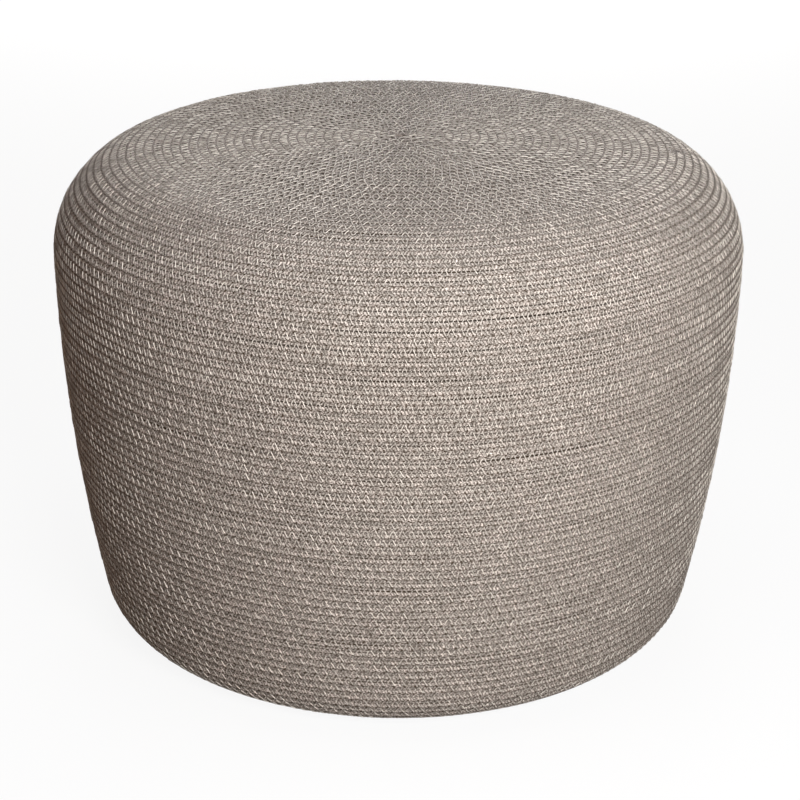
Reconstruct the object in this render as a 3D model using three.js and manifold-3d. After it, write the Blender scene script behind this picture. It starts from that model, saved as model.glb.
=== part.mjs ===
import * as THREE from "three";
import { mergeVertices } from "three/addons/utils/BufferGeometryUtils.js";
import Module from "manifold-3d";

const wasm = await Module();
wasm.setup();

// Outdoor ottoman: a round footstool whose cover is one rope, wound on a hollow moulded
// core from the middle of the crown, down the side and in under the lower edge.
// A screwed plate closes the core from below, and four glides carry it.
// Millimetres, +Z up. The origin is the middle of the footprint, on the ground.

// Cover, measured over the rope: its outline is four arcs that run into each other
const COVER_DIAMETER = 600;
const COVER_HEIGHT = 436;
const CROWN_RADIUS = 3300;
const SHOULDER_RADIUS = 85;
const SIDE_RADIUS = 1600;
const HEEL_RADIUS = 42;
const COVER_THICKNESS = 7;
const COVER_SEAT = 0.8;

// Winding: the cover's loops, drawn as one flat strand with a crest along its middle
const WINDING_LOOPS = 24;
const LOOP_STEPS = 24;
const TAIL_STEPS = 2;
const GAP_SAMPLE_COUNT = 8;
const GAP_REACH_STEPS = 2;
const STRAND_EDGE_DROP = 2.4;
const STRAND_GAP = 0.7;
const EYE_RADIUS = 7;
const TIP_WIDTH = 2;

// Core shell
const SHELL_WALL = 5;
const FLANGE_WIDTH = 60;
const FLANGE_OVERHANG = 4;
const CROWN_HOLE_RADIUS = 4;
const BOSS_RADIUS = 9;
const BOSS_HEIGHT = 10.5;

// Base plate
const PLATE_THICKNESS = 6;
const PLATE_EDGE_CHAMFER = 1.2;
const SPIGOT_HEIGHT = 9;
const RIB_THICKNESS = 3;
const RIB_HEIGHT = 6;
const HUB_RADIUS = 24;
const DRAIN_RADIUS = 6;
const DRAIN_CIRCLE_RADIUS = 100;
const RIB_COUNT = 8;
const FIXING_INSET = 25;

// Fastenings: clearances, then the machine screws and the inserts that they turn in
const FIT_GAP = 0.3;
const SEAT_GAP = 0.3;
const BASE_SCREW_COUNT = 8;
const BASE_SCREW_RADIUS = 3;
const BASE_SCREW_LENGTH = 18;
const BASE_HEAD_RADIUS = 5.25;
const BASE_HEAD_HEIGHT = 3.3;
const BASE_SOCKET_RADIUS = 2.3;
const BASE_SOCKET_DEPTH = 2;
const INSERT_RADIUS = 4.5;
const INSERT_LENGTH = 12;
const INSERT_GROOVE_DEPTH = 0.6;

// Glides and the countersunk screws that hold them
const GLIDE_COUNT = 4;
const GLIDE_HEIGHT = 7.5;
const GLIDE_RADIUS = 16;
const GLIDE_EDGE_ROUND = 2;
const GLIDE_SCREW_RADIUS = 2.4;
const GLIDE_SCREW_LENGTH = 21;
const GLIDE_SCREW_TIP = 3;
const GLIDE_HEAD_RADIUS = 4.6;
const GLIDE_HEAD_RIM = 0.5;
const GLIDE_HEAD_HEIGHT = 2.7;
const GLIDE_HEAD_RECESS = 1.5;
const GLIDE_SOCKET_RADIUS = 1.7;
const GLIDE_SOCKET_DEPTH = 1.4;

// One overrun serves every cut, and these are the numbers of facets
const CUT_OVERRUN = 2;
const PLATE_FACETS = 48;
const GLIDE_FACETS = 24;
const BOSS_FACETS = 16;
const SMALL_FACETS = 12;
const HEX_FACETS = 6;
const ARC_STEPS = { crown: 5, shoulder: 8, side: 7, heel: 7 };

// Places that follow from the sizes above
const coverRadius = COVER_DIAMETER / 2;
const plateTop = GLIDE_HEIGHT + PLATE_THICKNESS;
const flangeUnderside = plateTop + SEAT_GAP;
const flangeTop = flangeUnderside + SHELL_WALL;
const shellDepth = COVER_THICKNESS + COVER_SEAT;
const coverBase = flangeUnderside - shellDepth;

// Outline of the cover: each arc is tangent to the next, the crown's centre is on the axis,
// and the widest place is where the shoulder ends and the side begins
const crownCentreZ = coverBase + COVER_HEIGHT - CROWN_RADIUS;
const shoulderCentreR = coverRadius - SHOULDER_RADIUS;
const widestZ = crownCentreZ + Math.sqrt((CROWN_RADIUS - SHOULDER_RADIUS) ** 2 - shoulderCentreR ** 2);
const sideCentreR = coverRadius - SIDE_RADIUS;
const heelCentreZ = coverBase + HEEL_RADIUS;
const heelRise = widestZ - heelCentreZ;
const heelCentreR = sideCentreR + Math.sqrt((SIDE_RADIUS - HEEL_RADIUS) ** 2 - heelRise ** 2);
const shoulderStart = Math.atan2(widestZ - crownCentreZ, shoulderCentreR);
const heelStart = -Math.atan2(heelRise, heelCentreR - sideCentreR);

const outlineArcs = [
  { name: "crown", r: 0, z: crownCentreZ, radius: CROWN_RADIUS, from: Math.PI / 2, to: shoulderStart },
  { name: "shoulder", r: shoulderCentreR, z: widestZ, radius: SHOULDER_RADIUS, from: shoulderStart, to: 0 },
  { name: "side", r: sideCentreR, z: widestZ, radius: SIDE_RADIUS, from: 0, to: heelStart },
  { name: "heel", r: heelCentreR, z: heelCentreZ, radius: HEEL_RADIUS, from: heelStart, to: -Math.PI / 2 },
];
const arcLength = (arc) => arc.radius * (arc.from - arc.to);
const outlineLength = outlineArcs.reduce((sum, arc) => sum + arcLength(arc), 0);

// A point at an arc's angle, at some depth below the cover's surface
function arcPoint(arc, angle, depth) {
  const reach = arc.radius - depth;
  return new THREE.Vector2(arc.r + reach * Math.cos(angle), arc.z + reach * Math.sin(angle));
}

// A point of the outline at a distance along the cover's surface from the crown's middle
function outlinePoint(distance, depth) {
  let rest = distance;
  for (const arc of outlineArcs) {
    if (rest <= arcLength(arc) || arc.name === "heel") {
      return arcPoint(arc, arc.from - rest / arc.radius, depth);
    }
    rest -= arcLength(arc);
  }
}

// The outline from the crown to the heel's end as a run of points, at some depth
function outlineRun(depth) {
  const run = [];
  for (const arc of outlineArcs) {
    const steps = ARC_STEPS[arc.name];
    for (let i = 0; i < steps; i += 1) {
      run.push(arcPoint(arc, arc.from + ((arc.to - arc.from) * i) / steps, depth));
    }
  }
  run.push(arcPoint(outlineArcs.at(-1), -Math.PI / 2, depth));
  return run;
}

// Mesh tools

// Joins vertices at one place and drops the triangles that this leaves with no area
function weld(geometry) {
  const plain = geometry.index ? geometry.toNonIndexed() : geometry.clone();
  plain.deleteAttribute("normal");
  plain.deleteAttribute("uv");
  const welded = mergeVertices(plain);
  const old = welded.index.array;
  const kept = [];
  for (let i = 0; i < old.length; i += 3) {
    const [a, b, c] = [old[i], old[i + 1], old[i + 2]];
    if (a !== b && b !== c && c !== a) {
      kept.push(a, b, c);
    }
  }
  welded.setIndex(kept);
  return welded;
}

function solidOf(geometry) {
  const welded = weld(geometry);
  return new wasm.Manifold(new wasm.Mesh({
    numProp: 3,
    vertProperties: new Float32Array(welded.attributes.position.array),
    triVerts: new Uint32Array(welded.index.array),
  }));
}

function geometryOf(solid) {
  const mesh = solid.getMesh();
  const geometry = new THREE.BufferGeometry();
  geometry.setAttribute("position", new THREE.BufferAttribute(mesh.vertProperties, 3));
  geometry.setIndex(new THREE.BufferAttribute(mesh.triVerts, 1));
  return geometry;
}

// Turns a profile of [radius, height] or Vector2 points, listed upwards on the outside, about Z
function revolve(profile, facets) {
  const points = profile.map((p) => (Array.isArray(p) ? new THREE.Vector2(p[0], p[1]) : p));
  return new THREE.LatheGeometry(points, facets).rotateX(Math.PI / 2);
}

// A round or many-sided bar that stands on a height
function bar(radius, bottom, top, facets) {
  return new THREE.CylinderGeometry(radius, radius, top - bottom, facets)
    .rotateX(Math.PI / 2)
    .translate(0, 0, (top + bottom) / 2);
}

// Turns about the vertical axis to each place of an even ring
function ringAngles(count, shift) {
  return Array.from({ length: count }, (_, i) => (2 * Math.PI * (i + shift)) / count);
}

// Moves a copy of a geometry out along X and round to an angle
function atAngle(geometry, radius, angle) {
  return geometry.clone().translate(radius, 0, 0).rotateZ(angle);
}

// Materials
const finish = (color, roughness, metalness) =>
  new THREE.MeshStandardMaterial({ color, roughness, metalness, flatShading: true });
const materials = {
  rope: () => finish(0xa99c8e, 0.9, 0),
  shell: () => finish(0x4a4744, 0.6, 0),
  plate: () => finish(0x2e2d2c, 0.55, 0),
  glide: () => finish(0x1f1f1f, 0.5, 0),
  brass: () => finish(0xb08d4a, 0.4, 1),
  steel: () => finish(0xb9bcbf, 0.35, 1),
};

function piece(name, geometry, material) {
  const mesh = new THREE.Mesh(geometry, material);
  mesh.name = name;
  return mesh;
}

// Rope winding: one strand from a tip at the crown's eye to a tip at the base plate's rim.
// Its width follows the loops, so the first and last loops open and close like a snail's.
const firstEdge = EYE_RADIUS + TIP_WIDTH;
const loopPitch = (outlineLength - firstEdge) / (WINDING_LOOPS - 1);
const ringCount = WINDING_LOOPS * LOOP_STEPS - TAIL_STEPS + 1;
const freeEdge = (step) => firstEdge + (loopPitch * step) / LOOP_STEPS;
const outerEdge = (step) => Math.min(freeEdge(step), outlineLength);
const innerEdge = (step) => Math.max(freeEdge(step - LOOP_STEPS) + STRAND_GAP, EYE_RADIUS);

// Six corners of the strand's section at a step: three on its seat, two edges and the crest
function strandSection(step) {
  const [near, far] = [innerEdge(step), outerEdge(step)];
  const middle = (near + far) / 2;
  const angle = (2 * Math.PI * step) / LOOP_STEPS;
  const corners = [
    [near, COVER_THICKNESS],
    [middle, COVER_THICKNESS],
    [far, COVER_THICKNESS],
    [far, STRAND_EDGE_DROP],
    [middle, 0],
    [near, STRAND_EDGE_DROP],
  ];
  return corners.map(([distance, depth]) => {
    const p = outlinePoint(distance, depth);
    return new THREE.Vector3(p.x * Math.cos(angle), p.x * Math.sin(angle), p.y);
  });
}

function windingGeometry(sections) {
  const sides = sections[0].length;
  const positions = sections.flat().flatMap((p) => [p.x, p.y, p.z]);
  const index = [];
  for (let ring = 0; ring + 1 < sections.length; ring += 1) {
    for (let side = 0; side < sides; side += 1) {
      const a = ring * sides + side;
      const b = ring * sides + ((side + 1) % sides);
      index.push(a, a + sides, b, b, a + sides, b + sides);
    }
  }
  const last = (sections.length - 1) * sides;
  for (let side = 0; side + 2 < sides; side += 1) {
    index.push(0, side + 1, side + 2, last, last + side + 2, last + side + 1);
  }
  const geometry = new THREE.BufferGeometry();
  geometry.setAttribute("position", new THREE.Float32BufferAttribute(positions, 3));
  geometry.setIndex(index);
  return geometry;
}

// Least distance between each loop's outer edge and the next loop's inner edge, on points
function leastGap(sections) {
  const innerCorners = [(section) => section[0], (section) => section.at(-1)];
  const line = new THREE.Line3();
  const nearest = new THREE.Vector3();
  let least = Infinity;
  for (let ring = 0; ring + LOOP_STEPS < sections.length; ring += 1) {
    const next = sections[Math.min(ring + 1, sections.length - 1)];
    for (let k = 0; k < GAP_SAMPLE_COUNT; k += 1) {
      const low = sections[ring][2].clone().lerp(next[2], k / GAP_SAMPLE_COUNT);
      const high = sections[ring][3].clone().lerp(next[3], k / GAP_SAMPLE_COUNT);
      const points = [low, low.clone().lerp(high, 1 / 2), high];
      for (let shift = -GAP_REACH_STEPS; shift < GAP_REACH_STEPS; shift += 1) {
        const start = ring + LOOP_STEPS + shift;
        if (start + 1 < sections.length) {
          for (const corner of innerCorners) {
            line.set(corner(sections[start]), corner(sections[start + 1]));
            for (const point of points) {
              line.closestPointToPoint(point, true, nearest);
              least = Math.min(least, nearest.distanceTo(point));
            }
          }
        }
      }
    }
  }
  return least;
}

const strandSections = Array.from({ length: ringCount }, (_, step) => strandSection(step));
const ropeWinding = piece("rope_winding", windingGeometry(strandSections), materials.rope());
console.log(`rope_winding: ${WINDING_LOOPS} loops, ${loopPitch.toFixed(2)} mm apart`);
console.log(`rope_winding: least gap to itself ${leastGap(strandSections).toFixed(3)} mm`);

// Core shell: crown, side and heel in one wall, with a flange turned in below it.
// The flange carries a boss for each screw, and its facets lie under the winding's.
const flangeOpening = heelCentreR - FLANGE_WIDTH;
const plateRadius = heelCentreR * Math.cos(Math.PI / LOOP_STEPS) - FIT_GAP;
const fixingCircle = plateRadius - FIXING_INSET;
const bossTop = flangeTop + BOSS_HEIGHT;
const baseScrewAngles = ringAngles(BASE_SCREW_COUNT, 1 / 2);
const glideAngles = ringAngles(GLIDE_COUNT, 0);

function shellSolid() {
  const outside = outlineRun(shellDepth).reverse();
  const inside = outlineRun(shellDepth + SHELL_WALL);
  const flangeReach = flangeOpening - FLANGE_OVERHANG;
  outside[outside.length - 1].x = CROWN_HOLE_RADIUS;
  inside[0].x = CROWN_HOLE_RADIUS;
  const flange = [new THREE.Vector2(flangeReach, flangeTop), new THREE.Vector2(flangeReach, flangeUnderside)];
  const profile = [...outside, ...inside, ...flange, outside[0]];
  let shell = solidOf(revolve(profile, LOOP_STEPS));
  const opening = bar(flangeOpening, flangeUnderside - CUT_OVERRUN, flangeTop + CUT_OVERRUN, PLATE_FACETS);
  shell = shell.subtract(solidOf(opening));
  const boss = bar(BOSS_RADIUS, (flangeUnderside + flangeTop) / 2, bossTop, BOSS_FACETS);
  const insertTop = flangeUnderside + INSERT_LENGTH + FIT_GAP;
  const insertHole = bar(INSERT_RADIUS + FIT_GAP, flangeUnderside - CUT_OVERRUN, insertTop, BOSS_FACETS);
  const pilotTop = GLIDE_HEAD_RECESS + GLIDE_SCREW_LENGTH + FIT_GAP;
  const pilotRadius = GLIDE_SCREW_RADIUS + FIT_GAP;
  const pilotHole = bar(pilotRadius, flangeUnderside - CUT_OVERRUN, pilotTop, SMALL_FACETS);
  for (const [angles, hole] of [[baseScrewAngles, insertHole], [glideAngles, pilotHole]]) {
    for (const angle of angles) {
      shell = shell.add(solidOf(atAngle(boss, fixingCircle, angle)));
      shell = shell.subtract(solidOf(atAngle(hole, fixingCircle, angle)));
    }
  }
  return shell;
}
const coreShell = piece("core_shell", geometryOf(shellSolid()), materials.shell());

// Base plate: a moulded disc with a spigot that centres it in the flange's opening,
// a hub, radial ribs on its upper face, screw holes and drain holes.
function plateSolid() {
  const spigotOutside = flangeOpening * Math.cos(Math.PI / PLATE_FACETS) - FIT_GAP;
  const spigotInside = spigotOutside - RIB_THICKNESS;
  const spigotTop = plateTop + SPIGOT_HEIGHT;
  const ribTop = plateTop + RIB_HEIGHT;
  const hubInside = HUB_RADIUS - RIB_THICKNESS;
  const profile = [
    [0, GLIDE_HEIGHT],
    [plateRadius - PLATE_EDGE_CHAMFER, GLIDE_HEIGHT],
    [plateRadius, GLIDE_HEIGHT + PLATE_EDGE_CHAMFER],
    [plateRadius, plateTop],
    [spigotOutside, plateTop],
    [spigotOutside, spigotTop],
    [spigotInside, spigotTop],
    [spigotInside, plateTop],
    [HUB_RADIUS, plateTop],
    [HUB_RADIUS, ribTop],
    [hubInside, ribTop],
    [hubInside, plateTop],
    [0, plateTop],
  ];
  let plate = solidOf(revolve(profile, PLATE_FACETS));
  const ribStart = (hubInside + HUB_RADIUS) / 2;
  const ribEnd = (spigotInside + spigotOutside) / 2;
  const ribBottom = (GLIDE_HEIGHT + plateTop) / 2;
  const rib = new THREE.BoxGeometry(ribEnd - ribStart, RIB_THICKNESS, ribTop - ribBottom)
    .translate(0, 0, (ribTop + ribBottom) / 2);
  for (const angle of ringAngles(RIB_COUNT, 0)) {
    plate = plate.add(solidOf(atAngle(rib, (ribStart + ribEnd) / 2, angle)));
  }
  const cutBottom = GLIDE_HEIGHT - CUT_OVERRUN;
  const cutTop = plateTop + CUT_OVERRUN;
  const screwHole = bar(BASE_SCREW_RADIUS + FIT_GAP, cutBottom, cutTop, SMALL_FACETS);
  const glideHole = bar(GLIDE_SCREW_RADIUS + FIT_GAP, cutBottom, cutTop, SMALL_FACETS);
  const drainHole = bar(DRAIN_RADIUS, cutBottom, cutTop, BOSS_FACETS);
  const cuts = [
    [screwHole, fixingCircle, baseScrewAngles],
    [glideHole, fixingCircle, glideAngles],
    [drainHole, DRAIN_CIRCLE_RADIUS, ringAngles(RIB_COUNT, 1 / 2)],
    [drainHole, 0, [0]],
  ];
  for (const [hole, radius, angles] of cuts) {
    for (const angle of angles) {
      plate = plate.subtract(solidOf(atAngle(hole, radius, angle)));
    }
  }
  return plate;
}
const basePlate = piece("base_plate", geometryOf(plateSolid()), materials.plate());

// Base screws: button heads with a hex socket, seated on the plate's underside
const BUTTON_HEAD_SHARES = [[0.55, 1], [0.88, 0.62], [1, 0.22]];
function baseScrewGeometry() {
  const head = BUTTON_HEAD_SHARES.map(([radius, drop]) => [BASE_HEAD_RADIUS * radius, -BASE_HEAD_HEIGHT * drop]);
  const profile = [
    [0, -BASE_HEAD_HEIGHT],
    ...head,
    [BASE_HEAD_RADIUS, 0],
    [BASE_SCREW_RADIUS, 0],
    [BASE_SCREW_RADIUS, BASE_SCREW_LENGTH],
    [0, BASE_SCREW_LENGTH],
  ];
  const socketTop = BASE_SOCKET_DEPTH - BASE_HEAD_HEIGHT;
  const socket = bar(BASE_SOCKET_RADIUS, -BASE_HEAD_HEIGHT - CUT_OVERRUN, socketTop, HEX_FACETS);
  return geometryOf(solidOf(revolve(profile, SMALL_FACETS)).subtract(solidOf(socket)));
}

// Threaded inserts: brass sleeves with a retaining groove, pressed into the shell's bosses
function insertGeometry() {
  const bore = BASE_SCREW_RADIUS + FIT_GAP;
  const waist = INSERT_RADIUS - INSERT_GROOVE_DEPTH;
  const grooveStart = INSERT_LENGTH / 2 - INSERT_GROOVE_DEPTH;
  const grooveEnd = INSERT_LENGTH / 2 + INSERT_GROOVE_DEPTH;
  const profile = [
    [bore, 0],
    [INSERT_RADIUS, 0],
    [INSERT_RADIUS, grooveStart],
    [waist, grooveStart],
    [waist, grooveEnd],
    [INSERT_RADIUS, grooveEnd],
    [INSERT_RADIUS, INSERT_LENGTH],
    [bore, INSERT_LENGTH],
    [bore, 0],
  ];
  return weld(revolve(profile, SMALL_FACETS));
}

// Glides: nylon feet with a rounded lower edge and a countersink that hides the screw's head
const EDGE_ROUND_SHARES = [[1, 0], [0.29, 0.29], [0, 1]];
function glideGeometry() {
  const well = GLIDE_HEAD_RADIUS + FIT_GAP;
  const hole = GLIDE_SCREW_RADIUS + FIT_GAP;
  const round = EDGE_ROUND_SHARES.map(([inward, up]) =>
    [GLIDE_RADIUS - GLIDE_EDGE_ROUND * inward, GLIDE_EDGE_ROUND * up]);
  const profile = [
    [well, 0],
    ...round,
    [GLIDE_RADIUS, GLIDE_HEIGHT],
    [hole, GLIDE_HEIGHT],
    [hole, GLIDE_HEAD_RECESS + GLIDE_HEAD_HEIGHT],
    [well, GLIDE_HEAD_RECESS + GLIDE_HEAD_RIM],
    [well, 0],
  ];
  return weld(revolve(profile, GLIDE_FACETS));
}

// Glide screws: countersunk, driven up through glide and plate into the shell's bosses
function glideScrewGeometry() {
  const profile = [
    [0, 0],
    [GLIDE_HEAD_RADIUS, 0],
    [GLIDE_HEAD_RADIUS, GLIDE_HEAD_RIM],
    [GLIDE_SCREW_RADIUS, GLIDE_HEAD_HEIGHT],
    [GLIDE_SCREW_RADIUS, GLIDE_SCREW_LENGTH - GLIDE_SCREW_TIP],
    [0, GLIDE_SCREW_LENGTH],
  ];
  const socket = bar(GLIDE_SOCKET_RADIUS, -CUT_OVERRUN, GLIDE_SOCKET_DEPTH, HEX_FACETS);
  return geometryOf(solidOf(revolve(profile, SMALL_FACETS)).subtract(solidOf(socket)));
}

// Sets numbered copies of one piece round the fixing circle, at a height
function ringOf(name, geometry, material, angles, height) {
  const ring = new THREE.Group();
  angles.forEach((angle, i) => {
    const copy = piece(`${name}_${i + 1}`, geometry, material());
    copy.position.set(fixingCircle * Math.cos(angle), fixingCircle * Math.sin(angle), height);
    copy.rotation.z = angle;
    ring.add(copy);
  });
  return ring;
}

// Assembly
const group = new THREE.Group();
group.add(ropeWinding, coreShell, basePlate);
group.add(ringOf("base_screw", baseScrewGeometry(), materials.steel, baseScrewAngles, GLIDE_HEIGHT));
group.add(ringOf("threaded_insert", insertGeometry(), materials.brass, baseScrewAngles, flangeUnderside));
group.add(ringOf("glide", glideGeometry(), materials.glide, glideAngles, 0));
group.add(ringOf("glide_screw", glideScrewGeometry(), materials.steel, glideAngles, GLIDE_HEAD_RECESS));

export default group;
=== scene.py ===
import math

import bmesh
import bpy
import numpy as np
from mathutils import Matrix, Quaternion, Vector


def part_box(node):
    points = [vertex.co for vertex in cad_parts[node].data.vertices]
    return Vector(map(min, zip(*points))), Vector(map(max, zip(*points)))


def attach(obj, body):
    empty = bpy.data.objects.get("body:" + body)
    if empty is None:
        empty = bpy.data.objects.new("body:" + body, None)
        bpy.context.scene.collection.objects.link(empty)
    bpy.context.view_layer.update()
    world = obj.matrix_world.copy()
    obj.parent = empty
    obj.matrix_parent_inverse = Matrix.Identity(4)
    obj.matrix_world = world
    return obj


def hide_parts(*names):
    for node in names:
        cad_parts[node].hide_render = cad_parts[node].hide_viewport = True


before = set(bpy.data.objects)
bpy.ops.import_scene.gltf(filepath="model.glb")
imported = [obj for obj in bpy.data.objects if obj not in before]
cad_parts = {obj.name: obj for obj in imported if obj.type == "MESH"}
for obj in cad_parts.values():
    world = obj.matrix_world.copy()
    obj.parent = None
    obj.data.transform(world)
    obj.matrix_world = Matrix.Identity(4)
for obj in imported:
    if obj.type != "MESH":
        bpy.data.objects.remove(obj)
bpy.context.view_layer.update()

# The camera: a short telephoto lens, a little above the footstool and 1.8 m off, tipped down to it.
# The picture is 800 pixels wide, so the focal length in pixels gives the lens for a 36 mm sensor.
CAMERA_PLACE = Vector((0.0, -1.7098, 0.9121))
CAMERA_AIM = Vector((0.0024, 0.0, 0.1942))
CAMERA_ROLL = math.radians(0.488)
SENSOR_WIDTH = 36
FOCAL_PIXELS = 2036.7
PICTURE_PIXELS = 800
camera = bpy.data.objects.new("camera", bpy.data.cameras.new("camera"))
bpy.context.scene.collection.objects.link(camera)
camera.data.sensor_width = SENSOR_WIDTH
camera.data.lens = camera.data.sensor_width * FOCAL_PIXELS / PICTURE_PIXELS
camera.location = CAMERA_PLACE
camera.rotation_mode = "QUATERNION"
camera_look = (CAMERA_AIM - CAMERA_PLACE).to_track_quat("-Z", "Y")
camera.rotation_quaternion = camera_look @ Quaternion((0, 0, 1), CAMERA_ROLL)
bpy.context.scene.camera = camera

# Rope winding. One braided rope, about 7.7 mm wide and 7 mm thick, is coiled in touching turns
# and sewn turn to turn into a fitted cover, drawn tight over the core. It runs from the middle of
# the crown down the side and in under the heel, to the base plate's rim, and lies a little uneven.
MM = 0.001
COVER_RADIUS = 300 * MM
CROWN_RADIUS = 3300 * MM
SHOULDER_RADIUS = 85 * MM
SIDE_RADIUS = 1600 * MM
HEEL_RADIUS = 42 * MM
COVER_THICKNESS = 7 * MM
cover_low, cover_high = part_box("rope_winding")

# The cover's outline is four arcs, each tangent to the next: crown, shoulder, side and heel
crown_centre = cover_high.z - CROWN_RADIUS
shoulder_reach = COVER_RADIUS - SHOULDER_RADIUS
widest = crown_centre + math.sqrt((CROWN_RADIUS - SHOULDER_RADIUS) ** 2 - shoulder_reach**2)
side_centre = COVER_RADIUS - SIDE_RADIUS
heel_centre = cover_low.z + HEEL_RADIUS
heel_rise = widest - heel_centre
heel_reach = side_centre + math.sqrt((SIDE_RADIUS - HEEL_RADIUS) ** 2 - heel_rise**2)
shoulder_start = math.atan2(widest - crown_centre, shoulder_reach)
heel_start = -math.atan2(heel_rise, heel_reach - side_centre)
# Each arc: its centre's radius and height, its own radius, and the angles where it starts and ends
outline_arcs = [
    (0, crown_centre, CROWN_RADIUS, math.pi / 2, shoulder_start),
    (shoulder_reach, widest, SHOULDER_RADIUS, shoulder_start, 0),
    (side_centre, widest, SIDE_RADIUS, 0, heel_start),
    (heel_reach, heel_centre, HEEL_RADIUS, heel_start, -math.pi / 2),
]
outline_length = sum(radius * (first - last) for _, _, radius, first, last in outline_arcs)


def outline(distance, depth):
    """Radius and height at a distance along the cover from its top, at a depth below it."""
    reach_out, height_out, start = np.zeros_like(distance), np.zeros_like(distance), 0
    for centre_r, centre_z, radius, first, last in outline_arcs:
        angle = first - (distance - start) / radius
        on_arc = (distance >= start) | (start == 0)
        reach_out = np.where(on_arc, centre_r + (radius - depth) * np.cos(angle), reach_out)
        height_out = np.where(on_arc, centre_z + (radius - depth) * np.sin(angle), height_out)
        start += radius * (first - last)
    return reach_out, height_out


# The last turn's middle line lies half a turn's pitch short of the outline's end
TURN_PITCH = 7.7 * MM
FIRST_TURN = 0.4
last_turn = outline_length / TURN_PITCH - 0.5

# Length of rope up to each place, by small steps of a turn
LENGTH_STEPS = 400
turn_marks = np.linspace(0, last_turn + 1, int((last_turn + 1) * LENGTH_STEPS))
mark_depth = np.full_like(turn_marks, COVER_THICKNESS / 2)
mark_radius, _ = outline(turn_marks * TURN_PITCH, mark_depth)
mark_along = 2 * math.pi * mark_radius * np.gradient(turn_marks)
mark_steps = np.hypot(mark_along, TURN_PITCH * np.gradient(turn_marks))
length_marks = np.cumsum(mark_steps)
rope_start, rope_end = np.interp([FIRST_TURN, last_turn], turn_marks, length_marks)

# Uneven lay: smooth random drifts along the rope of its place, height and width
LAY_SEED = 11
SPARE_KNOTS = 4
chance = np.random.RandomState(LAY_SEED)


def drift(spacing, amount):
    """A smooth random value at each length mark of the rope, with a knot at each spacing."""
    knots = chance.uniform(-amount, amount, int(length_marks[-1] / spacing) + SPARE_KNOTS)
    place = length_marks / spacing
    low = np.floor(place).astype(int)
    blend = place - low
    blend = blend * blend * (3 - 2 * blend)
    return knots[low] * (1 - blend) + knots[low + 1] * blend


marks_aside = drift(90 * MM, 0.22 * MM) + drift(400 * MM, 0.25 * MM)
marks_sunk = drift(70 * MM, 0.22 * MM) + drift(900 * MM, 0.2 * MM)
marks_width = drift(50 * MM, 0.02) + drift(500 * MM, 0.02)

MERGE_DISTANCE = 0.001 * MM


def tube(name, steps, sides, place, maps):
    """A closed tube: a grid of steps along and sides round, put in place by a function of both."""
    bm = bmesh.new()
    for uv_name in maps:
        bm.loops.layers.uv.new(uv_name)
    bmesh.ops.create_grid(bm, x_segments=steps, y_segments=sides, size=1, calc_uvs=True)
    mesh = bpy.data.meshes.new(name)
    bm.to_mesh(mesh)
    bm.free()
    # The grid runs from -1 to 1 both ways, which tells each vertex's step and side
    grid = np.zeros(len(mesh.vertices) * 3)
    mesh.vertices.foreach_get("co", grid)
    step = np.rint((grid[0::3] + 1) / 2 * steps).astype(int)
    side = np.rint((grid[1::3] + 1) / 2 * sides).astype(int)
    mesh.vertices.foreach_set("co", place(step, side % sides).ravel())
    corners = np.zeros(len(mesh.loops), int)
    mesh.loops.foreach_get("vertex_index", corners)
    for uv_name, uv in maps.items():
        uv_places = uv(step[corners], side[corners])
        mesh.uv_layers[uv_name].data.foreach_set("uv", uv_places.ravel())
    # The grid's last side meets its first, and both ends are capped
    bm = bmesh.new()
    bm.from_mesh(mesh)
    bmesh.ops.remove_doubles(bm, verts=bm.verts, dist=MERGE_DISTANCE)
    open_edges = [edge for edge in bm.edges if edge.is_boundary]
    bmesh.ops.holes_fill(bm, edges=open_edges, sides=0)
    for face in bm.faces:
        face.smooth = True
    bm.to_mesh(mesh)
    bm.free()
    piece = bpy.data.objects.new(name, mesh)
    bpy.context.scene.collection.objects.link(piece)
    return piece


def on_cover(turn, aside, depth, along):
    """Places on the cover: at a turn, off its middle line by aside and along, at a depth."""
    reach, height = outline(turn * TURN_PITCH + aside, depth)
    angle = 2 * math.pi * turn + along / reach
    return np.stack([reach * np.cos(angle), reach * np.sin(angle), height], 1)


# The rope's section, from its inner edge round over the crest to the outer edge and back below.
# Between these two turns it goes from the crown, where it is pressed flatter, to the side.
CROWN_TURNS = [24, 36]
CROWN_POWER, SIDE_POWER = 6.0, 4.0
SECTION_ANGLES = [-20, 8, 32, 60, 90, 120, 148, 172, 200, 270, 340]
CREST_ANGLE = 90
section_turn = np.radians(SECTION_ANGLES)
section_round = (np.array(SECTION_ANGLES) - SECTION_ANGLES[0]) / 360


def section_share(value, turn):
    """How far out the section reaches, as a share of its half width or half height."""
    power = np.interp(turn, CROWN_TURNS, [CROWN_POWER, SIDE_POWER])
    return np.sign(value) * np.abs(value) ** (2 / power)


# The seam outside each turn is sewn in a zigzag: these are its lengths in millimetres by turn, and
# the count of zigzags up to each place. The machine's feed was uneven, so they differ.
ZIGZAG_LENGTHS = [
    (0, 6.2), (24, 6.8), (40, 7.3), (48, 5.9), (56, 7.9), (64, 7.0), (71, 8.3), (79, 8.7),
    (93, 8.2),
]
zigzag_turns, zigzag_sizes = zip(*ZIGZAG_LENGTHS)
mark_zigzag = np.interp(turn_marks, zigzag_turns, zigzag_sizes) * MM
zigzag_marks = np.cumsum(mark_steps / mark_zigzag)

# The rope is a little wider than its turns' pitch, because it is squeezed between its neighbours.
# It lies even in its first turns, and its two true ends close in a short round tip.
ROPE_WIDTH = 8.1 * MM
EVEN_TURNS = 2
TIP_LENGTH = 5 * MM
STEPS_A_TURN = 240


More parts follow.
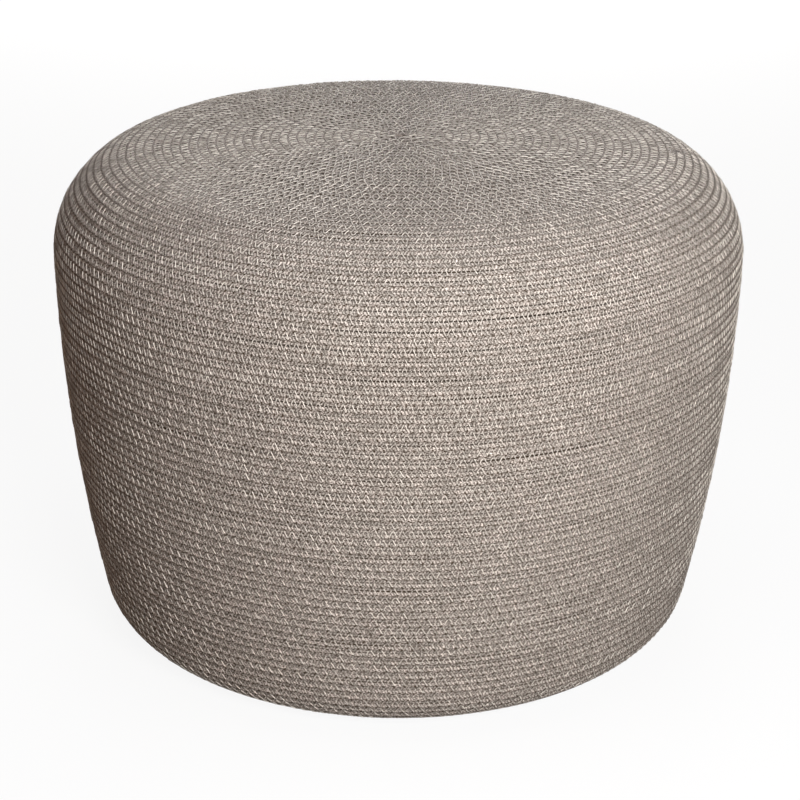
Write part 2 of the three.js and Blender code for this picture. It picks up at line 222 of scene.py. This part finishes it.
def rope_piece(name, first, last):
    """A stretch of the rope between two numbers of turns."""
    steps = round((last - first) * STEPS_A_TURN)

    def place(step, side):
        turn = first + (last - first) * step / steps
        length = np.interp(turn, turn_marks, length_marks)
        ends = np.minimum(length - rope_start, rope_end - length)
        tip = np.sqrt(np.clip(1 - (1 - np.clip(ends / TIP_LENGTH, 0, 1)) ** 2, 0, 1))
        uneven = np.clip((turn - FIRST_TURN) / EVEN_TURNS, 0, 1)
        wider = uneven * np.interp(turn, turn_marks, marks_width)
        width = ROPE_WIDTH / 2 * (1 + wider) * tip
        angle = section_turn[side]
        shift = uneven * np.interp(turn, turn_marks, marks_aside)
        aside = shift - width * section_share(np.cos(angle), turn)
        sunk = uneven * np.abs(np.interp(turn, turn_marks, marks_sunk))
        rise = section_share(np.sin(angle), turn) * tip
        return on_cover(turn, aside, COVER_THICKNESS / 2 * (1 - rise) + sunk, 0)

    def rope_uv(step, side):
        turn = first + (last - first) * step / steps
        return np.stack([np.interp(turn, turn_marks, length_marks), section_round[side]], 1)

    def sewing_uv(step, side):
        # The count of zigzags in the seam outside this turn, and in the one inside it
        turn = first + (last - first) * step / steps
        outer, inner = np.interp([turn, np.maximum(turn - 1, 0)], turn_marks, zigzag_marks)
        return np.stack([outer, inner], 1)

    maps = {"Rope": rope_uv, "Sewing": sewing_uv}
    return tube(name, steps, len(SECTION_ANGLES) - 1, place, maps)


# Each stretch of rope is a piece, and this is the turn where it ends
STRETCHES = [
    ("crown", 31),
    ("shoulder", 43),
    ("side_top", 54),
    ("side_upper", 66),
    ("side_lower", 79),
    ("heel", last_turn),
]
rope_pieces = []
start_turn = FIRST_TURN
for stretch_name, end_turn in STRETCHES:
    rope_pieces.append(rope_piece("rope_" + stretch_name, start_turn, end_turn))
    start_turn = end_turn


def linear(hex_colour):
    """A linear colour from an sRGB hex number."""
    parts = [(hex_colour >> shift & 255) / 255 for shift in (16, 8, 0)]
    return [p / 12.92 if p <= 0.04045 else ((p + 0.055) / 1.055) ** 2.4 for p in parts] + [1]


def node(tree, kind, links=None, **settings):
    """Adds a node with its settings. An input takes a value, a socket or a node's first output."""
    made = tree.nodes.new("ShaderNode" + kind)
    for setting, value in settings.items():
        setattr(made, setting, value)
    for socket, value in (links or {}).items():
        if isinstance(value, bpy.types.Node):
            value = value.outputs[0]
        if isinstance(value, bpy.types.NodeSocket):
            tree.links.new(value, made.inputs[socket])
        else:
            made.inputs[socket].default_value = value
    return made


def calc(tree, operation, *values):
    """Adds a Math node that works out one value from others."""
    return node(tree, "Math", dict(enumerate(values)), operation=operation)


def remap(tree, value, from_low, from_high, to_low=0, to_high=1):
    """Carries a value from one range over to another, and holds it at their ends."""
    links = {"Value": value, "From Min": from_low, "From Max": from_high}
    return node(tree, "MapRange", {**links, "To Min": to_low, "To Max": to_high})


# A Mix node's sockets: its two values, or its two colours and the colour that comes out
VALUE_A, VALUE_B = 2, 3
COLOUR_A, COLOUR_B, COLOUR_RESULT = 6, 7, 2


def mix_colours(tree, share, first, second, **settings):
    """The colour at a share of the way from one sRGB hex number to another."""
    links = {"Factor": share, COLOUR_A: linear(first), COLOUR_B: linear(second)}
    mixed = node(tree, "Mix", links, data_type="RGBA", **settings)
    return mixed.outputs[COLOUR_RESULT]


def new_material(name):
    """An empty material, and its tree to fill in."""
    material = bpy.data.materials.new(name)
    material.use_nodes = True
    material.node_tree.nodes.clear()
    return material, material.node_tree


def finish_surface(tree, links):
    """Ends a material's tree with the surface shader, with its constants and links."""
    shader = node(tree, "BsdfPrincipled", links)
    node(tree, "OutputMaterial", {"Surface": shader})


def dress(cad_node, material):
    """Gives a CAD node its real finish."""
    cad_node.data.materials.clear()
    cad_node.data.materials.append(material)


# The rope's material: a braid of heathered polyolefin yarns, greige with darker and paler ones
# among them. It is matt, with hardly any shine, and has painted shade in the gaps between its
# stitches. Its section runs 27 mm round, and the pattern is laid out from the crest, at this share
# of a round.
ROPE_GIRTH = 27 * MM
CREST_SHARE = (CREST_ANGLE - SECTION_ANGLES[0]) / 360
rope_material, tree = new_material("braided polyolefin rope")
rope_map = node(tree, "UVMap", uv_map="Rope")
along_round = node(tree, "SeparateXYZ", {0: rope_map})
from_crest = calc(tree, "SUBTRACT", along_round.outputs[1], CREST_SHARE)
crest_away = calc(tree, "ABSOLUTE", from_crest)
# The same place in metres both ways, for patterns a little longer along the rope than across it
FINER_ACROSS = 1.6
girth_scale = (1, FINER_ACROSS * ROPE_GIRTH, 1)
girth_place = node(tree, "VectorMath", {0: rope_map, 1: girth_scale}, operation="MULTIPLY")

# The braid: columns of slanting stitches, 2.7 mm apart, that lean the other way in every other
# column. The strands don't lie quite evenly, so the stitches wander by up to half a millimetre.
STITCH_PITCH = 2.7 * MM
STRANDS_ROUND = 8
STITCH_SLANT = 0.8
STAGGER = 0.5
STRAY_SCALE, STRAY_AMOUNT = 220.0, 2.2 * MM
stray = node(tree, "TexNoise", {"Vector": girth_place, "Scale": STRAY_SCALE, "Detail": 1.0})
stray_along = calc(tree, "MULTIPLY_ADD", stray, STRAY_AMOUNT, along_round)
column_place = calc(tree, "MULTIPLY", from_crest, STRANDS_ROUND)
column = calc(tree, "FLOOR", column_place)
in_column = calc(tree, "SUBTRACT", column_place, column)
centred = calc(tree, "SUBTRACT", in_column, 0.5)
odd = calc(tree, "FLOORED_MODULO", column, 2)
hand = calc(tree, "MULTIPLY_ADD", odd, -2 * STITCH_SLANT, STITCH_SLANT)
slant = calc(tree, "MULTIPLY", centred, hand)
stagger = calc(tree, "MULTIPLY_ADD", column, STAGGER, slant)
stitches = calc(tree, "MULTIPLY_ADD", stray_along, 1 / STITCH_PITCH, stagger)
stitch = calc(tree, "FLOOR", stitches)
in_stitch = calc(tree, "SUBTRACT", stitches, stitch)

# A stitch is round across, dives under the next column at both ends, and has a ridge of yarn
ACROSS_FALL, END_FALL = 3.0, 2.2
RIDGE_FALL, RIDGE_HEIGHT = 4.0, 0.2
across = calc(tree, "SUBTRACT", in_stitch, 0.5)
across_two = calc(tree, "MULTIPLY", across, across)
across_round = calc(tree, "MULTIPLY_ADD", across_two, -ACROSS_FALL, 1)
end_two = calc(tree, "MULTIPLY", centred, centred)
end_round = calc(tree, "MULTIPLY_ADD", end_two, -END_FALL, 1)
stitch_round = calc(tree, "MULTIPLY", across_round, end_round)
ridge = calc(tree, "MULTIPLY_ADD", across_two, -RIDGE_FALL, 1)
relief = calc(tree, "MULTIPLY_ADD", ridge, RIDGE_HEIGHT, stitch_round)
# Painted shade in the gaps between stitches, and painted light on their tops, from the relief
RELIEF_TOP = 1.1
GAP_LIGHT, STITCH_LIGHT = 0.14, 1.34
gap_painted_shade = remap(tree, relief, 0, RELIEF_TOP, GAP_LIGHT, STITCH_LIGHT)

# Every stitch takes its own shade of the heather, round one that drifts along each strand
HEATHER = [
    (0.14, 0x5E534A),
    (0.3, 0x877C74),
    (0.44, 0x99928A),
    (0.58, 0xAAA098),
    (0.72, 0xBCB2A8),
    (0.86, 0xDAD2C8),
]
STITCH_CONTRAST, RUN_CONTRAST = 0.22, 0.3
HEATHER_RUN = 60.0
stitch_key = node(tree, "CombineXYZ", {0: stitch, 1: column})
stitch_chance = node(tree, "TexWhiteNoise", {"Vector": stitch_key}, noise_dimensions="3D")
strand_key = node(tree, "CombineXYZ", {0: along_round, 1: column})
heather_run = node(tree, "TexNoise", {"Vector": strand_key, "Scale": HEATHER_RUN, "Detail": 2.0})
run_middle = 0.5 - (STITCH_CONTRAST + RUN_CONTRAST) / 2
run_part = calc(tree, "MULTIPLY_ADD", heather_run, RUN_CONTRAST, run_middle)
tone = calc(tree, "MULTIPLY_ADD", stitch_chance, STITCH_CONTRAST, run_part)
heather = node(tree, "ValToRGB", {"Fac": tone})
while len(heather.color_ramp.elements) < len(HEATHER):
    heather.color_ramp.elements.new(0.5)
for element, (position, colour) in zip(heather.color_ramp.elements, HEATHER):
    element.position = position
    element.color = linear(colour)

# 1 on the crown and 0 on the side, where the rope lies and is sewn a little differently
crown_start, crown_end = np.interp(CROWN_TURNS, turn_marks, length_marks)
crown_share = remap(tree, along_round, crown_start, crown_end, 1, 0)

# The sewing: 1 where the nearer seam's zigzag opens away from this rope, and 0 where it dives in
sewing_map = node(tree, "UVMap", uv_map="Sewing")
sewing = node(tree, "SeparateXYZ", {0: sewing_map})
outward = calc(tree, "GREATER_THAN", from_crest, 0)
outward_sign = calc(tree, "MULTIPLY_ADD", outward, -1, 0.5)
outer_phase = calc(tree, "FRACT", sewing)
inner_phase = calc(tree, "FRACT", sewing.outputs[1])
phase = node(tree, "Mix", {"Factor": outward, VALUE_A: inner_phase, VALUE_B: outer_phase})
phase_angle = calc(tree, "MULTIPLY", phase, 2 * math.pi)
phase_wave = calc(tree, "COSINE", phase_angle)
openness = calc(tree, "MULTIPLY_ADD", phase_wave, outward_sign, 0.5)

# Painted shade in the seams: the rope's flanks, down there, get little light through the fuzz of
# their neighbours. In some places the turns are drawn up tighter, so that less painted seam shade
# shows. On the crown the thread holds the seam shut where it crosses, and the painted shade shows
# only between the crossings.
SEAM_RUN = 7.0
SEAM_RUN_LOW, SEAM_RUN_HIGH = 0.4, 0.6
SEAM_OPEN, SEAM_TIGHT = 0.05, 0.75
CROWN_LIFT, CROWN_SEWN_LIFT = 0.6, -0.95
SEAM_START, CROWN_SEAM_SOONER = 0.11, -0.08
SEAM_BLUR = 0.05
seam_run = node(tree, "TexNoise", {"Vector": rope_map, "Scale": SEAM_RUN, "Detail": 1.0})
seam_dark = remap(tree, seam_run, SEAM_RUN_LOW, SEAM_RUN_HIGH, SEAM_OPEN, SEAM_TIGHT)
sewn_lift = calc(tree, "MULTIPLY_ADD", openness, CROWN_SEWN_LIFT, CROWN_LIFT)
seam_tone = calc(tree, "MULTIPLY_ADD", crown_share, sewn_lift, seam_dark)
seam_from = calc(tree, "MULTIPLY_ADD", crown_share, CROWN_SEAM_SOONER, SEAM_START)
seam_to = calc(tree, "ADD", seam_from, SEAM_BLUR)
seam_shade = remap(tree, crest_away, seam_from, seam_to, 1, seam_tone)

# On the side painted shade marks a small hole where the thread dives in, 0.65 mm off the crest.
# The square of the distance from it, in square millimetres, comes from the openness and from the
# place round the rope, whose share of a round is worth 36 mm near the crest.
HOLE_OFF = 0.018
OPENNESS_SIZE, ROUND_SIZE = 5.0, 36.0
HOLE_DARK, CROWN_HOLE_LIFT = 0.15, 0.85
HOLE_FLOOR, HOLE_RIM = 0.2, 0.9
hole_off = calc(tree, "MULTIPLY_ADD", crest_away, -ROUND_SIZE, HOLE_OFF * ROUND_SIZE)
hole_off_two = calc(tree, "MULTIPLY", hole_off, hole_off)
hole_away = calc(tree, "MULTIPLY_ADD", openness, OPENNESS_SIZE, hole_off_two)
hole_dark = calc(tree, "MULTIPLY_ADD", crown_share, CROWN_HOLE_LIFT, HOLE_DARK)
hole_shade = remap(tree, hole_away, HOLE_FLOOR, HOLE_RIM, hole_dark, 1)

# Runs of the rope, 70 mm long, are a little darker or paler than their neighbours
NOISE_LOW, NOISE_HIGH = 0.3, 0.7
RUN_SCALE = 14.0
RUN_DARK, RUN_PALE = 0.93, 1.07
run_tone = node(tree, "TexNoise", {"Vector": rope_map, "Scale": RUN_SCALE, "Detail": 3.0})
run_shade = remap(tree, run_tone, NOISE_LOW, NOISE_HIGH, RUN_DARK, RUN_PALE)
# Single filaments of other shades show as short flecks. Real ones are a tenth of a millimetre
# thick, too fine to show, so they are drawn in bundles of about a millimetre.
FLECK_SCALE = 740.0
FLECK_DARK, FLECK_PALE = 0.38, 1.62
fleck = node(tree, "TexNoise", {"Vector": girth_place, "Scale": FLECK_SCALE, "Detail": 0.0})
fleck_shade = remap(tree, fleck, NOISE_LOW, NOISE_HIGH, FLECK_DARK, FLECK_PALE)
# The crown's crests get painted light, a narrow paler band along each crest
CROWN_CREST_PAINTED_LIGHT = 0.45
CREST_FULL, CREST_END = 0.01, 0.05
crest_high = calc(tree, "MULTIPLY_ADD", crown_share, CROWN_CREST_PAINTED_LIGHT, 1.0)
crest_painted_light = remap(tree, crest_away, CREST_FULL, CREST_END, crest_high, 1)

# All of these together say how light a place is: the runs' and flecks' own tones, the painted
# shade in the gaps, seams and holes, and the painted light on the crown's crests. The heather is
# shaded with it, and the painted shade is browner, because the light there comes off other yarns.
run_and_fleck = calc(tree, "MULTIPLY", run_shade, fleck_shade)
gap_and_seam = calc(tree, "MULTIPLY", gap_painted_shade, seam_shade)
gap_seam_hole = calc(tree, "MULTIPLY", gap_and_seam, hole_shade)
gap_to_crest = calc(tree, "MULTIPLY", gap_seam_hole, crest_painted_light)
all_shades = calc(tree, "MULTIPLY", gap_to_crest, run_and_fleck)
DEEP_SHADE, FULL_LIGHT = 0x523900, 0xFFFFFF
lightness = calc(tree, "MAXIMUM", all_shades, 0)
shade = mix_colours(tree, lightness, DEEP_SHADE, FULL_LIGHT, clamp_factor=False)
rope_colour = node(tree, "VectorMath", {0: heather, 1: shade}, operation="MULTIPLY")
rope_bump = node(tree, "Bump", {"Height": relief, "Strength": 1.0, "Distance": 0.6 * MM})
finish_surface(tree, {
    "Base Color": rope_colour, "Normal": rope_bump, "Roughness": 0.85, "Specular IOR Level": 0.05,
})

for piece in rope_pieces:
    piece.data.materials.append(rope_material)
    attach(piece, "root")
    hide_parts("rope_winding")

# Sealed end. The rope's first end is melted shut so that it can't fray, and is pressed down into
# the middle of the coil, where it closes the crown as a small, smooth, brownish button.
SEAL_LENGTH, SEAL_WIDTH, SEAL_HEIGHT = 9.8 * MM, 8.8 * MM, 5.8 * MM
SEAL_MIDDLE = Vector((-0.8 * MM, 2.2 * MM, cover_high.z - SEAL_HEIGHT / 2))
seal_mesh = bpy.data.meshes.new("rope_sealed_end")
bm = bmesh.new()
bmesh.ops.create_uvsphere(bm, u_segments=32, v_segments=16, radius=0.5)
bmesh.ops.scale(bm, vec=(SEAL_LENGTH, SEAL_WIDTH, SEAL_HEIGHT), verts=bm.verts)
bmesh.ops.translate(bm, vec=SEAL_MIDDLE, verts=bm.verts)
for face in bm.faces:
    face.smooth = True
bm.to_mesh(seal_mesh)
bm.free()
sealed_end = bpy.data.objects.new("rope_sealed_end", seal_mesh)
bpy.context.scene.collection.objects.link(sealed_end)

# Melted polyolefin: smoother and browner than the yarn, with soft lumps about 2 mm across
LUMP_SCALE = 500.0
SEAL_DARK, SEAL_PALE = 0x7F7268, 0xA8998D
seal_material, tree = new_material("heat-sealed polyolefin")
seal_place = node(tree, "TexCoord").outputs["Object"]
lumps = node(tree, "TexNoise", {"Vector": seal_place, "Scale": LUMP_SCALE, "Detail": 3.0})
seal_colour = mix_colours(tree, lumps, SEAL_DARK, SEAL_PALE)
lump_bump = node(tree, "Bump", {"Height": lumps, "Strength": 0.8, "Distance": 0.6 * MM})
finish_surface(tree, {
    "Base Color": seal_colour, "Normal": lump_bump, "Roughness": 0.6, "Specular IOR Level": 0.2,
})
sealed_end.data.materials.append(seal_material)
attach(sealed_end, "root")
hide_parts("rope_winding")

# Seam thread. A pale bonded polyester thread sews each turn to the next in a zigzag: it bridges
# the valley between them, and dives into the rope near the crest on either side.
THREAD_RADIUS = 0.4 * MM
ZIGZAG_REACH = 3.2 * MM
THREAD_SIDES = 4
# One zigzag in steps: place along it, share of the reach, and depth in thread radii below the
# crest. It dives into the rope at both corners, and the leg that leads back lies deeper.
DIVE = 3
ZIGZAG_STEPS = [
    (0, -1, DIVE),
    (0.09, -0.8, 0.2),
    (0.41, 0.8, 0.2),
    (0.5, 1, DIVE),
    (0.59, 0.8, 1.2),
    (0.91, -0.8, 1.2),
]
LEG_STEPS = 3
zigzag_along, zigzag_aside, zigzag_depth = np.array(ZIGZAG_STEPS).T
# The thread is pulled a little deeper in some places than in others, and each leg of the zigzag
# has a slack of its own. On the crown it lies higher, both legs are more alike, and their slack
# differs more.
THREAD_SUNK = 0.2 * MM
CROWN_DEPTH_SHARE = 0.3
CROWN_PULL_SHARE = 0.5
CROWN_RISE = 0.33 * MM
CROWN_JUMP, SIDE_JUMP = 0.45 * MM, 0.15 * MM
SPARE_LEGS = 8
leg_slack = chance.uniform(-1, 1, 2 * int(zigzag_marks[-1]) + SPARE_LEGS)
marks_pull = THREAD_SUNK + drift(20 * MM, 0.15 * MM) + drift(150 * MM, 0.2 * MM)


def thread_piece(name, first, last):
    """The seam's thread outside the turns between two numbers, as one tube."""
    first_zigzag, last_zigzag = np.interp([first, last], turn_marks, zigzag_marks)
    steps = int(last_zigzag - first_zigzag) * len(ZIGZAG_STEPS)

    def line(step):
        whole, part = step // len(ZIGZAG_STEPS), step % len(ZIGZAG_STEPS)
        turn = np.interp(first_zigzag + whole + zigzag_along[part], zigzag_marks, turn_marks)
        # The seam lies half way between its two turns, wherever these have drifted to
        inner_shift = np.interp(turn, turn_marks, marks_aside)
        outer_shift = np.interp(turn + 1, turn_marks, marks_aside)
        shift = inner_shift + outer_shift
        aside = TURN_PITCH / 2 + shift / 2 + ZIGZAG_REACH * zigzag_aside[part]
        pull = np.interp(turn, turn_marks, marks_pull)
        pull = pull * np.interp(turn, CROWN_TURNS, [CROWN_PULL_SHARE, 1])
        pull -= np.interp(turn, CROWN_TURNS, [CROWN_RISE, 0])
        slack = leg_slack[2 * (int(first_zigzag) + whole) + part // LEG_STEPS]
        pull += slack * np.interp(turn, CROWN_TURNS, [CROWN_JUMP, SIDE_JUMP])
        radii = zigzag_depth[part]
        flatter = radii * np.interp(turn, CROWN_TURNS, [CROWN_DEPTH_SHARE, 1])
        radii = np.where(radii < DIVE, flatter, radii)
        return turn, aside, THREAD_RADIUS * radii + pull

    def place(step, side):
        turn, aside, depth = line(step)
        before, after = line(np.maximum(step - 1, 0)), line(step + 1)
        reach, _ = outline(turn * TURN_PITCH + aside, depth)
        run_along = 2 * math.pi * reach * (after[0] - before[0])
        run_aside = after[1] - before[1]
        run = np.hypot(run_along, run_aside)
        round_angle = 2 * math.pi * side / THREAD_SIDES
        off = THREAD_RADIUS * np.sin(round_angle) / run
        depth = depth - THREAD_RADIUS * np.cos(round_angle)
        return on_cover(turn, aside + off * run_along, depth, -off * run_aside)

    def thread_uv(step, side):
        return np.stack([step / len(ZIGZAG_STEPS), side / THREAD_SIDES], 1)

    return tube(name, steps, THREAD_SIDES, place, {"Thread": thread_uv})


# The last turn has no neighbour outside it, so its seam is left out
thread_pieces = []
start_turn = FIRST_TURN
for stretch_name, end_turn in STRETCHES:
    seam_end = min(end_turn, last_turn - 1)
    thread_pieces.append(thread_piece("seam_thread_" + stretch_name, start_turn, seam_end))
    start_turn = end_turn

# The thread's plies run round it in long turns, and its wax gives it a low shine. It is rubbed and
# soiled in places, so it goes from grey to nearly white.
PLIES_A_ZIGZAG = 12.0
WEAR_SCALE = 1.6
WEAR_LOW, WEAR_HIGH = 0.35, 0.65
THREAD_SOILED, THREAD_CLEAN = 0x989087, 0xF8F1E6
thread_material, tree = new_material("bonded polyester thread")
thread_map = node(tree, "UVMap", uv_map="Thread")
thread_place = node(tree, "SeparateXYZ", {0: thread_map})
ply_turn = calc(tree, "MULTIPLY_ADD", thread_place, PLIES_A_ZIGZAG, thread_place.outputs[1])
ply_angle = calc(tree, "MULTIPLY", ply_turn, 2 * math.pi)
ply = calc(tree, "SINE", ply_angle)
thread_tone = node(tree, "TexNoise", {"Vector": thread_map, "Scale": WEAR_SCALE, "Detail": 2.0})
thread_wear = remap(tree, thread_tone, WEAR_LOW, WEAR_HIGH)
thread_colour = mix_colours(tree, thread_wear, THREAD_SOILED, THREAD_CLEAN)
ply_bump = node(tree, "Bump", {"Height": ply, "Strength": 0.5, "Distance": 0.1 * MM})
finish_surface(tree, {
    "Base Color": thread_colour, "Normal": ply_bump, "Roughness": 0.45, "Specular IOR Level": 0.4,
})

for piece in thread_pieces:
    piece.data.materials.append(thread_material)
    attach(piece, "root")
    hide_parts("rope_winding")

# Core shell. A hollow drum of rotationally moulded polyethylene, 5 mm thick, which gives the
# footstool its shape and carries the rope. Its skin has the fine grain of the mould.
GRAIN_SCALE, CLOUD_SCALE = 900.0, 14.0
SHELL_DARK, SHELL_PALE = 0x3E3B38, 0x4B4845
shell_material, tree = new_material("rotationally moulded polyethylene")
shell_place = node(tree, "TexCoord").outputs["Object"]
grain = node(tree, "TexNoise", {"Vector": shell_place, "Scale": GRAIN_SCALE, "Detail": 2.0})
cloud = node(tree, "TexNoise", {"Vector": shell_place, "Scale": CLOUD_SCALE, "Detail": 3.0})
shell_colour = mix_colours(tree, cloud, SHELL_DARK, SHELL_PALE)
grain_bump = node(tree, "Bump", {"Height": grain, "Strength": 0.5, "Distance": 0.2 * MM})
finish_surface(tree, {"Base Color": shell_colour, "Normal": grain_bump, "Roughness": 0.6})
dress(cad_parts["core_shell"], shell_material)

# Base plate. A black polyethylene disc, moulded with ribs and a spigot on its hidden face, and
# screwed up under the shell. Its underside has a fine spark-eroded texture and faint scuffs.
TEXTURE_SCALE, SCUFF_SCALE = 1200.0, 40.0
SCUFF_LOW, SCUFF_HIGH = 0.5, 0.75
PLATE_BLACK, PLATE_SCUFFED = 0x232221, 0x33312F
PLATE_SMOOTH, PLATE_ROUGH = 0.42, 0.7
plate_material, tree = new_material("moulded black polyethylene")
plate_place = node(tree, "TexCoord").outputs["Object"]
texture = node(tree, "TexNoise", {"Vector": plate_place, "Scale": TEXTURE_SCALE, "Detail": 2.0})
scuff = node(tree, "TexNoise", {"Vector": plate_place, "Scale": SCUFF_SCALE, "Detail": 6.0})
scuff_share = remap(tree, scuff, SCUFF_LOW, SCUFF_HIGH)
plate_colour = mix_colours(tree, scuff_share, PLATE_BLACK, PLATE_SCUFFED)
plate_rough = remap(tree, scuff, 0, 1, PLATE_SMOOTH, PLATE_ROUGH)
texture_bump = node(tree, "Bump", {"Height": texture, "Strength": 0.4, "Distance": 0.1 * MM})
finish_surface(tree, {"Base Color": plate_colour, "Normal": texture_bump, "Roughness": plate_rough})
dress(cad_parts["base_plate"], plate_material)

# Screws. Stainless machine screws hold the plate, and smaller countersunk ones hold the glides.
# They are cold-headed, so their heads are bright, with a slightly uneven shine.
SHINE_SCALE = 600.0
STEEL = 0xC4C5C6
STEEL_SMOOTH, STEEL_ROUGH = 0.22, 0.42
steel_material, tree = new_material("cold-headed stainless steel")
steel_place = node(tree, "TexCoord").outputs["Object"]
steel_tone = node(tree, "TexNoise", {"Vector": steel_place, "Scale": SHINE_SCALE, "Detail": 4.0})
steel_rough = remap(tree, steel_tone, 0, 1, STEEL_SMOOTH, STEEL_ROUGH)
finish_surface(tree, {"Base Color": linear(STEEL), "Metallic": 1.0, "Roughness": steel_rough})
for name, cad_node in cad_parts.items():
    if "screw" in name:
        dress(cad_node, steel_material)

# Threaded inserts. Turned brass sleeves pressed into the shell's bosses, a little tarnished.
TARNISH_SCALE = 300.0
BRASS_BRIGHT, BRASS_TARNISHED = 0xC9A45C, 0x9C7C44
brass_material, tree = new_material("turned brass")
brass_place = node(tree, "TexCoord").outputs["Object"]
tarnish = node(tree, "TexNoise", {"Vector": brass_place, "Scale": TARNISH_SCALE, "Detail": 3.0})
brass_colour = mix_colours(tree, tarnish, BRASS_BRIGHT, BRASS_TARNISHED)
finish_surface(tree, {"Base Color": brass_colour, "Metallic": 1.0, "Roughness": 0.35})
for name, cad_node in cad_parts.items():
    if name.startswith("threaded_insert"):
        dress(cad_node, brass_material)

# Glides. Black nylon feet, moulded with a fine grain, which makes their shine uneven.
NYLON_SCALE = 800.0
NYLON = 0x1C1C1C
NYLON_SMOOTH, NYLON_ROUGH = 0.35, 0.6
nylon_material, tree = new_material("moulded black nylon")
nylon_place = node(tree, "TexCoord").outputs["Object"]
nylon_grain = node(tree, "TexNoise", {"Vector": nylon_place, "Scale": NYLON_SCALE, "Detail": 3.0})
nylon_rough = remap(tree, nylon_grain, 0, 1, NYLON_SMOOTH, NYLON_ROUGH)
nylon_bump = node(tree, "Bump", {"Height": nylon_grain, "Strength": 0.3, "Distance": 0.1 * MM})
finish_surface(tree, {"Base Color": linear(NYLON), "Normal": nylon_bump, "Roughness": nylon_rough})
for name, cad_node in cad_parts.items():
    if name.startswith("glide_") and "screw" not in name:
        dress(cad_node, nylon_material)

# Studio. A wide pale floor under a white surround, and four soft lamps: a key light in front, a
# little to the right and above, a weak one overhead, a wide one far behind for the back, and a
# weak warm fill on the left, where otherwise only the room's own dim and warm light falls.
FLOOR_RADIUS = 9.0
floor_mesh = bpy.data.meshes.new("floor")
bm = bmesh.new()
bmesh.ops.create_circle(bm, cap_ends=True, segments=64, radius=FLOOR_RADIUS)
bm.to_mesh(floor_mesh)
bm.free()
floor = bpy.data.objects.new("floor", floor_mesh)
bpy.context.scene.collection.objects.link(floor)


def seen_rays(tree):
    """1 for what the camera sees, also in a gloss or through glass, and 0 for the light itself."""
    ray = node(tree, "LightPath")
    camera_ray, glossy_ray = ray.outputs["Is Camera Ray"], ray.outputs["Is Glossy Ray"]
    seen = calc(tree, "MAXIMUM", camera_ray, glossy_ray)
    through = ray.outputs["Is Transmission Ray"]
    return calc(tree, "MAXIMUM", seen, through)


# The floor is seen white, mostly by its own glow, with a little paint that takes the shadow. For
# the light it is a dull grey, so that it throws little back up at the footstool.
FLOOR_GLOW_SHARE = 0.9
FLOOR_DULL, FLOOR_WHITE = 0x6E6864, 0xFBFBFB
floor_material, tree = new_material("pale studio floor")
seen = seen_rays(tree)
paint_colour = mix_colours(tree, seen, FLOOR_DULL, FLOOR_WHITE)
paint = node(tree, "BsdfDiffuse", {"Color": paint_colour})
glow = node(tree, "Emission", {"Color": (1, 1, 1, 1), "Strength": 1.0})
glow_share = calc(tree, "MULTIPLY", seen, FLOOR_GLOW_SHARE)
floor_mix = node(tree, "MixShader", {0: glow_share, 1: paint, 2: glow})
node(tree, "OutputMaterial", {"Surface": floor_mix})
floor_mesh.materials.append(floor_material)

# The surround is seen white too, and lights the room only dimly
AMBIENT = 0.055
ROOM = 0xFFD4A2
world = bpy.data.worlds.new("studio")
bpy.context.scene.world = world
world.use_nodes = True
tree = world.node_tree
tree.nodes.clear()
room = node(tree, "Background", {"Color": linear(ROOM), "Strength": AMBIENT})
white = node(tree, "Background", {"Color": (1, 1, 1, 1), "Strength": 1.0})
surround = node(tree, "MixShader", {0: seen_rays(tree), 1: room, 2: white})
node(tree, "OutputWorld", {"Surface": surround})

# Each lamp: name, azimuth and elevation that it shines from, distance, side of its square, power
# and colour
LAMPS = [
    ("key", -73, 20, 1.6, 0.6, 26.5, 0xFFFDFD),
    ("top", -90, 83, 1.8, 0.8, 10, 0xF1F6FF),
    ("back", 90, 10, 3.6, 1.8, 90, 0xFFFDFD),
    ("warm fill", -165, 8, 1.8, 1.0, 1.3, 0xFF9A4A),
]
LAMP_AIM = Vector((0, 0, 0.22))
for lamp_name, azimuth, elevation, distance, side, power, colour in LAMPS:
    lamp = bpy.data.objects.new(lamp_name, bpy.data.lights.new(lamp_name, "AREA"))
    bpy.context.scene.collection.objects.link(lamp)
    lamp.data.size = side
    lamp.data.energy = power
    lamp.data.color = linear(colour)[:3]
    flat = math.cos(math.radians(elevation))
    away = Vector((
        flat * math.cos(math.radians(azimuth)),
        flat * math.sin(math.radians(azimuth)),
        math.sin(math.radians(elevation)),
    ))
    lamp.location = LAMP_AIM + away * distance
    lamp.rotation_mode = "QUATERNION"
    lamp.rotation_quaternion = (-away).to_track_quat("-Z", "Y")

bpy.context.scene.view_settings.view_transform = "Standard"
